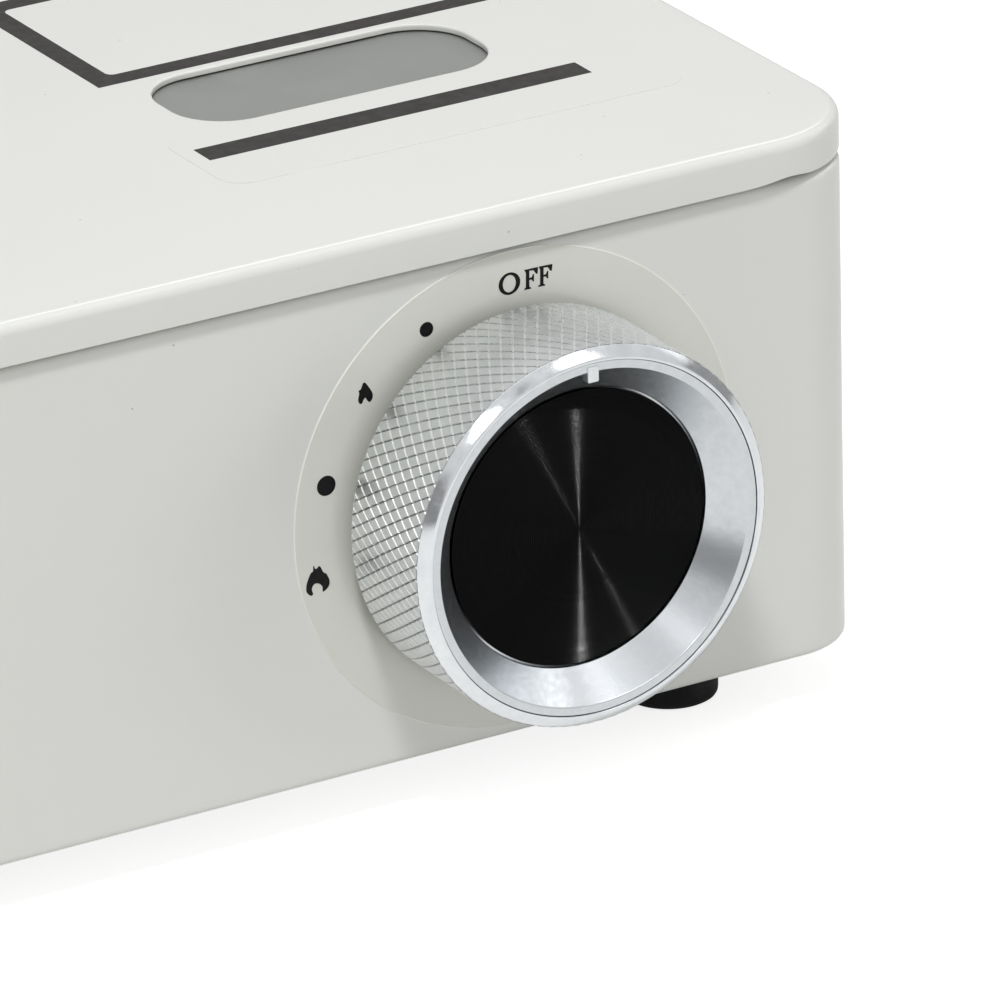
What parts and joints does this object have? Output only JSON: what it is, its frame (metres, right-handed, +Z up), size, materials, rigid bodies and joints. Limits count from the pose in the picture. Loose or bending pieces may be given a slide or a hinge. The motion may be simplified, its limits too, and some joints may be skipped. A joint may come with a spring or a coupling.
{
  "type": "portable gas stove",
  "caption": "Low pressed steel gas stove with a hinged canister lid, knurled aluminium knob, round burner, drip tray and pan support.",
  "frame": {"origin": "on the ground, under the middle of the whole outline", "axes": "+X to the stove's right, -Y its front with the knob, +Z up"},
  "size_m": [0.3522, 0.2984, 0.106],
  "materials": {
    "cream_enamel": "gloss stove enamel",
    "galvanised_steel": "dull zinc",
    "polished_aluminium": "polished, knurled on the side",
    "satin_aluminium": "satin turned",
    "black_turned_aluminium": "black, fine turned rings",
    "cast_aluminium": "as cast",
    "black_plastic": "moulded",
    "white_plastic": "moulded",
    "black_rubber": "moulded",
    "brass": "turned",
    "die_cast_zinc": "die cast zinc",
    "ferrite": "sintered ferrite",
    "white_ceramic": "glazed",
    "plated_steel": "nickel plated",
    "black_enamel": "gloss vitreous enamel"
  },
  "bodies": {
    "stove": {"body_shell": "cream_enamel", "bottom_plate": "galvanised_steel", "foot_front_left": "black_rubber", "foot_front_right": "black_rubber", "foot_rear_left": "black_rubber", "foot_rear_right": "black_rubber", "burner_top_plate": "cream_enamel", "heat_shield": "galvanised_steel", "hinge_pin_front": "plated_steel", "hinge_pin_rear": "plated_steel", "piezo_igniter": "white_plastic", "regulator_bracket": "galvanised_steel", "regulator_cap": "die_cast_zinc", "regulator_body": "die_cast_zinc", "magnet_ring": "ferrite", "inlet_seal": "black_rubber", "gas_pipe": "brass", "pipe_nut_regulator": "brass", "pipe_nut_injector": "brass", "mixing_tube": "cast_aluminium", "injector": "brass", "burner_base": "cast_aluminium", "burner_crown": "brass", "burner_cap": "black_enamel", "burner_bracket": "galvanised_steel", "spark_electrode": "white_ceramic", "electrode_pin": "plated_steel", "electrode_bracket": "plated_steel", "ignition_lead": "black_rubber", "canister_cradle": "galvanised_steel", "bottom_screw_1": "plated_steel", "bottom_screw_2": "plated_steel", "bottom_screw_3": "plated_steel", "bottom_screw_4": "plated_steel", "bracket_screw_1": "plated_steel", "bracket_screw_2": "plated_steel", "burner_screw_1": "plated_steel", "burner_screw_2": "plated_steel", "top_plate_screw_1": "plated_steel", "top_plate_screw_2": "plated_steel"},
    "knob": {"knob_sleeve": "polished_aluminium", "knob_dish": "satin_aluminium", "knob_disc": "black_turned_aluminium", "knob_pointer": "polished_aluminium", "knob_hub": "black_plastic", "valve_spindle": "brass", "ignition_cam": "white_plastic"},
    "igniter_plunger": {"piezo_plunger": "black_plastic"},
    "lid": {"canister_lid": "cream_enamel"},
    "tray": {"drip_tray": "plated_steel"},
    "support": {"pan_support": "black_enamel"}
  },
  "joints": [
    {"name": "knob_turn", "type": "hinge", "parent": "stove", "child": "knob", "pos_m": [0.1144, -0.12695, 0.0457], "axis": [0, -1, 0], "range_deg": [0, 110]},
    {"name": "plunger_press", "type": "slide", "parent": "stove", "child": "igniter_plunger", "axis": [0, 1, 0], "range_m": [0, 0.005]},
    {"name": "lid_hinge", "type": "hinge", "parent": "stove", "child": "lid", "pos_m": [0.0257, 0.01055, 0.0852], "axis": [0, -1, 0], "range_deg": [0, 90]},
    {"name": "tray_lift", "type": "slide", "parent": "stove", "child": "tray", "axis": [0, 0, 1], "range_m": [0, 0.06]},
    {"name": "support_lift", "type": "slide", "parent": "tray", "child": "support", "axis": [0, 0, 1], "range_m": [0, 0.06]}
  ],
  "couplings": [
    {"joint": "plunger_press", "follows": "knob_turn", "m_per_rad": 0.0026044}
  ]
}
